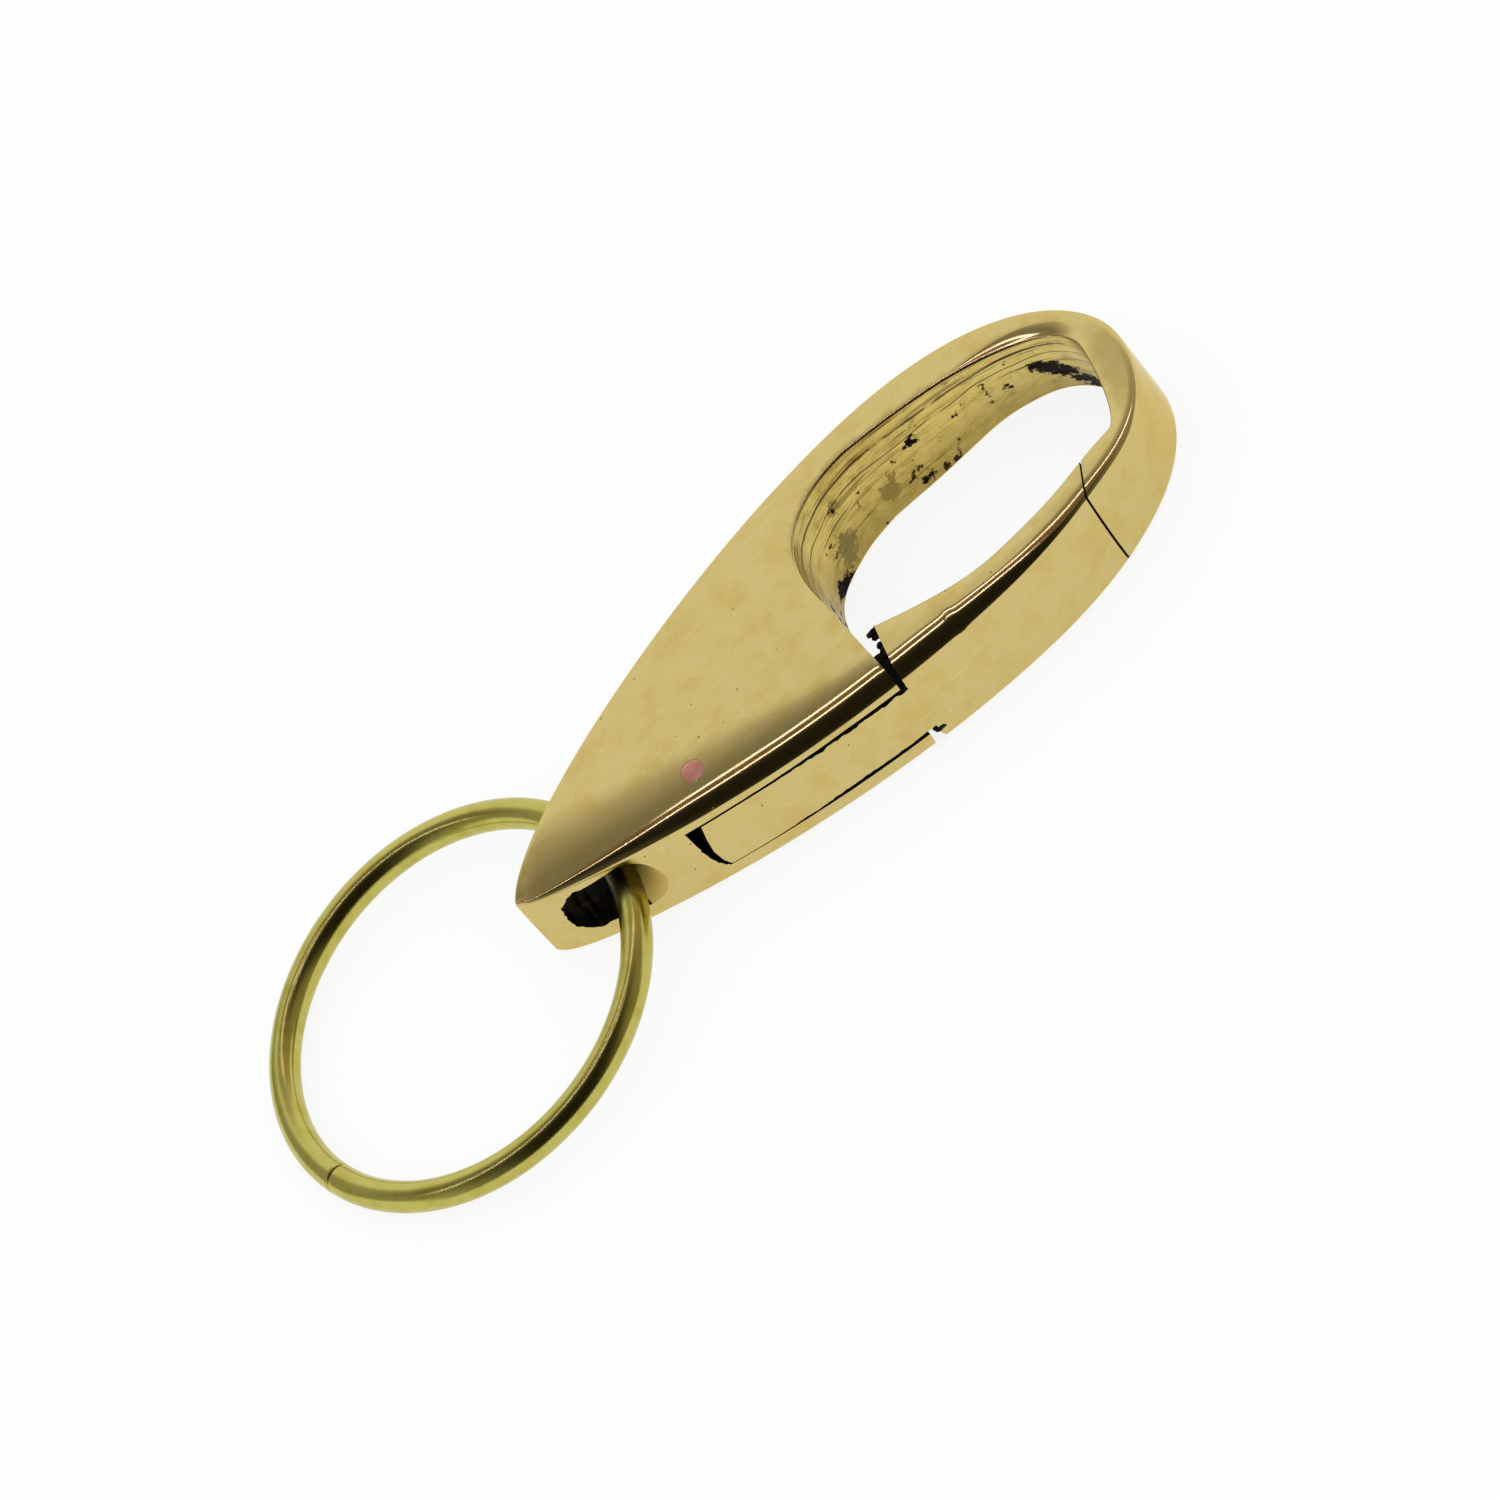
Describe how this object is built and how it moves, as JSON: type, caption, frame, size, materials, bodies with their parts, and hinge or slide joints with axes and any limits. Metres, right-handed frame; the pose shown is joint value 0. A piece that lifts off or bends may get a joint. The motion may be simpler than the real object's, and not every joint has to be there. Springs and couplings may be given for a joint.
{
  "type": "snap hook keychain",
  "caption": "Flat teardrop brass snap hook with a sprung gate that folds into its eye, and a round wire key ring through a hole in its tip.",
  "frame": {"origin": "centre of the whole keychain's length and width, on the plane that the hook's flat side lies on", "axes": "+X from the key ring towards the hook's nose, +Y away from the gate, +Z out of the hook's flat front face"},
  "size_m": [0.1066, 0.0418, 0.01],
  "materials": {
    "polished_brass": "polished cast brass, lightly worn",
    "drawn_brass": "bright drawn brass wire",
    "copper": "copper rivet wire, filed flush",
    "spring_steel": "oiled spring wire"
  },
  "bodies": {
    "hook": {"hook_body": "polished_brass", "pivot_pin": "copper", "gate_spring": "spring_steel"},
    "gate": {"gate": "polished_brass"},
    "key_ring": {"key_ring": "drawn_brass"}
  },
  "joints": [
    {"name": "gate_hinge", "type": "hinge", "parent": "hook", "child": "gate", "pos_m": [-0.00249, -0.00538, 0.005], "axis": [0, 0, 1], "range_deg": [0, 15], "stiffness_Nm_per_rad": 0.4, "springref_deg": -14.32, "deforming": ["gate_spring"]},
    {"name": "ring_swing", "type": "hinge", "parent": "hook", "child": "key_ring", "pos_m": [-0.01319, -0.00108, 0.005], "axis": [0.0558, 0.9984, 0], "range_deg": [-150, 160]}
  ]
}
